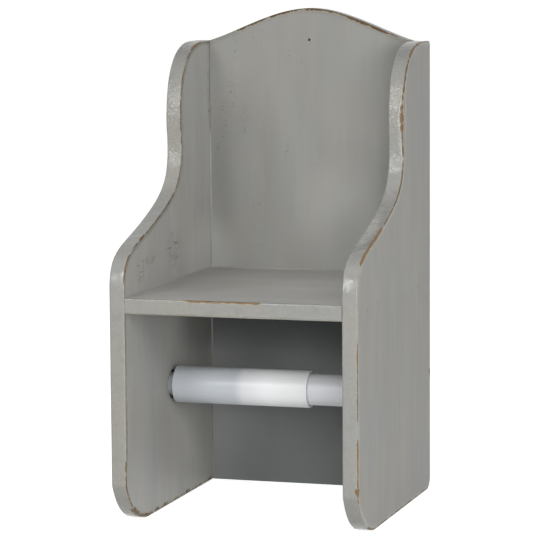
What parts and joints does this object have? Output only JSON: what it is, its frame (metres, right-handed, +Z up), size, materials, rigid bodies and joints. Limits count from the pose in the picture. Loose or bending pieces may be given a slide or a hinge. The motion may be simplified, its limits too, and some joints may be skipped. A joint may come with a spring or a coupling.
{
  "type": "toilet roll holder with shelf",
  "caption": "Painted wooden toilet roll holder shaped like a small winged settle, with a shelf and a spring-loaded roller held between its sides.",
  "frame": {"origin": "middle of the footprint, on the surface that the holder stands on", "axes": "+Z up, the open front faces -Y, the wall face is at +Y, +X to the right seen from the front"},
  "size_m": [0.16, 0.18, 0.32],
  "materials": {
    "paint": "brushed chalky warm grey paint, rubbed through along the edges",
    "roller_plastic": "white moulded plastic, half gloss",
    "spring_steel": "bright drawn wire",
    "brad_steel": "plain drawn steel"
  },
  "bodies": {
    "case": {"left_side": "paint", "right_side": "paint", "back_panel": "paint", "shelf": "paint", "shelf_brad_left_1": "brad_steel", "shelf_brad_left_2": "brad_steel", "shelf_brad_left_3": "brad_steel", "shelf_brad_right_1": "brad_steel", "shelf_brad_right_2": "brad_steel", "shelf_brad_right_3": "brad_steel", "back_brad_left_1": "brad_steel", "back_brad_left_2": "brad_steel", "back_brad_left_3": "brad_steel", "back_brad_left_4": "brad_steel", "back_brad_right_1": "brad_steel", "back_brad_right_2": "brad_steel", "back_brad_right_3": "brad_steel", "back_brad_right_4": "brad_steel", "rear_brad_1": "brad_steel", "rear_brad_2": "brad_steel"},
    "outer_sleeve": {"outer_sleeve": "roller_plastic", "roller_spring": "spring_steel"},
    "inner_sleeve": {"inner_sleeve": "roller_plastic"}
  },
  "joints": [
    {"name": "roller_spin", "type": "hinge", "parent": "case", "child": "outer_sleeve", "pos_m": [0, 0, 0.078], "axis": [1, 0, 0], "continuous": true},
    {"name": "sleeve_slide", "type": "slide", "parent": "outer_sleeve", "child": "inner_sleeve", "axis": [1, 0, 0], "range_m": [-0.025, 0], "stiffness_N_per_m": 150, "springref_m": 0.02, "deforming": ["roller_spring"]}
  ]
}
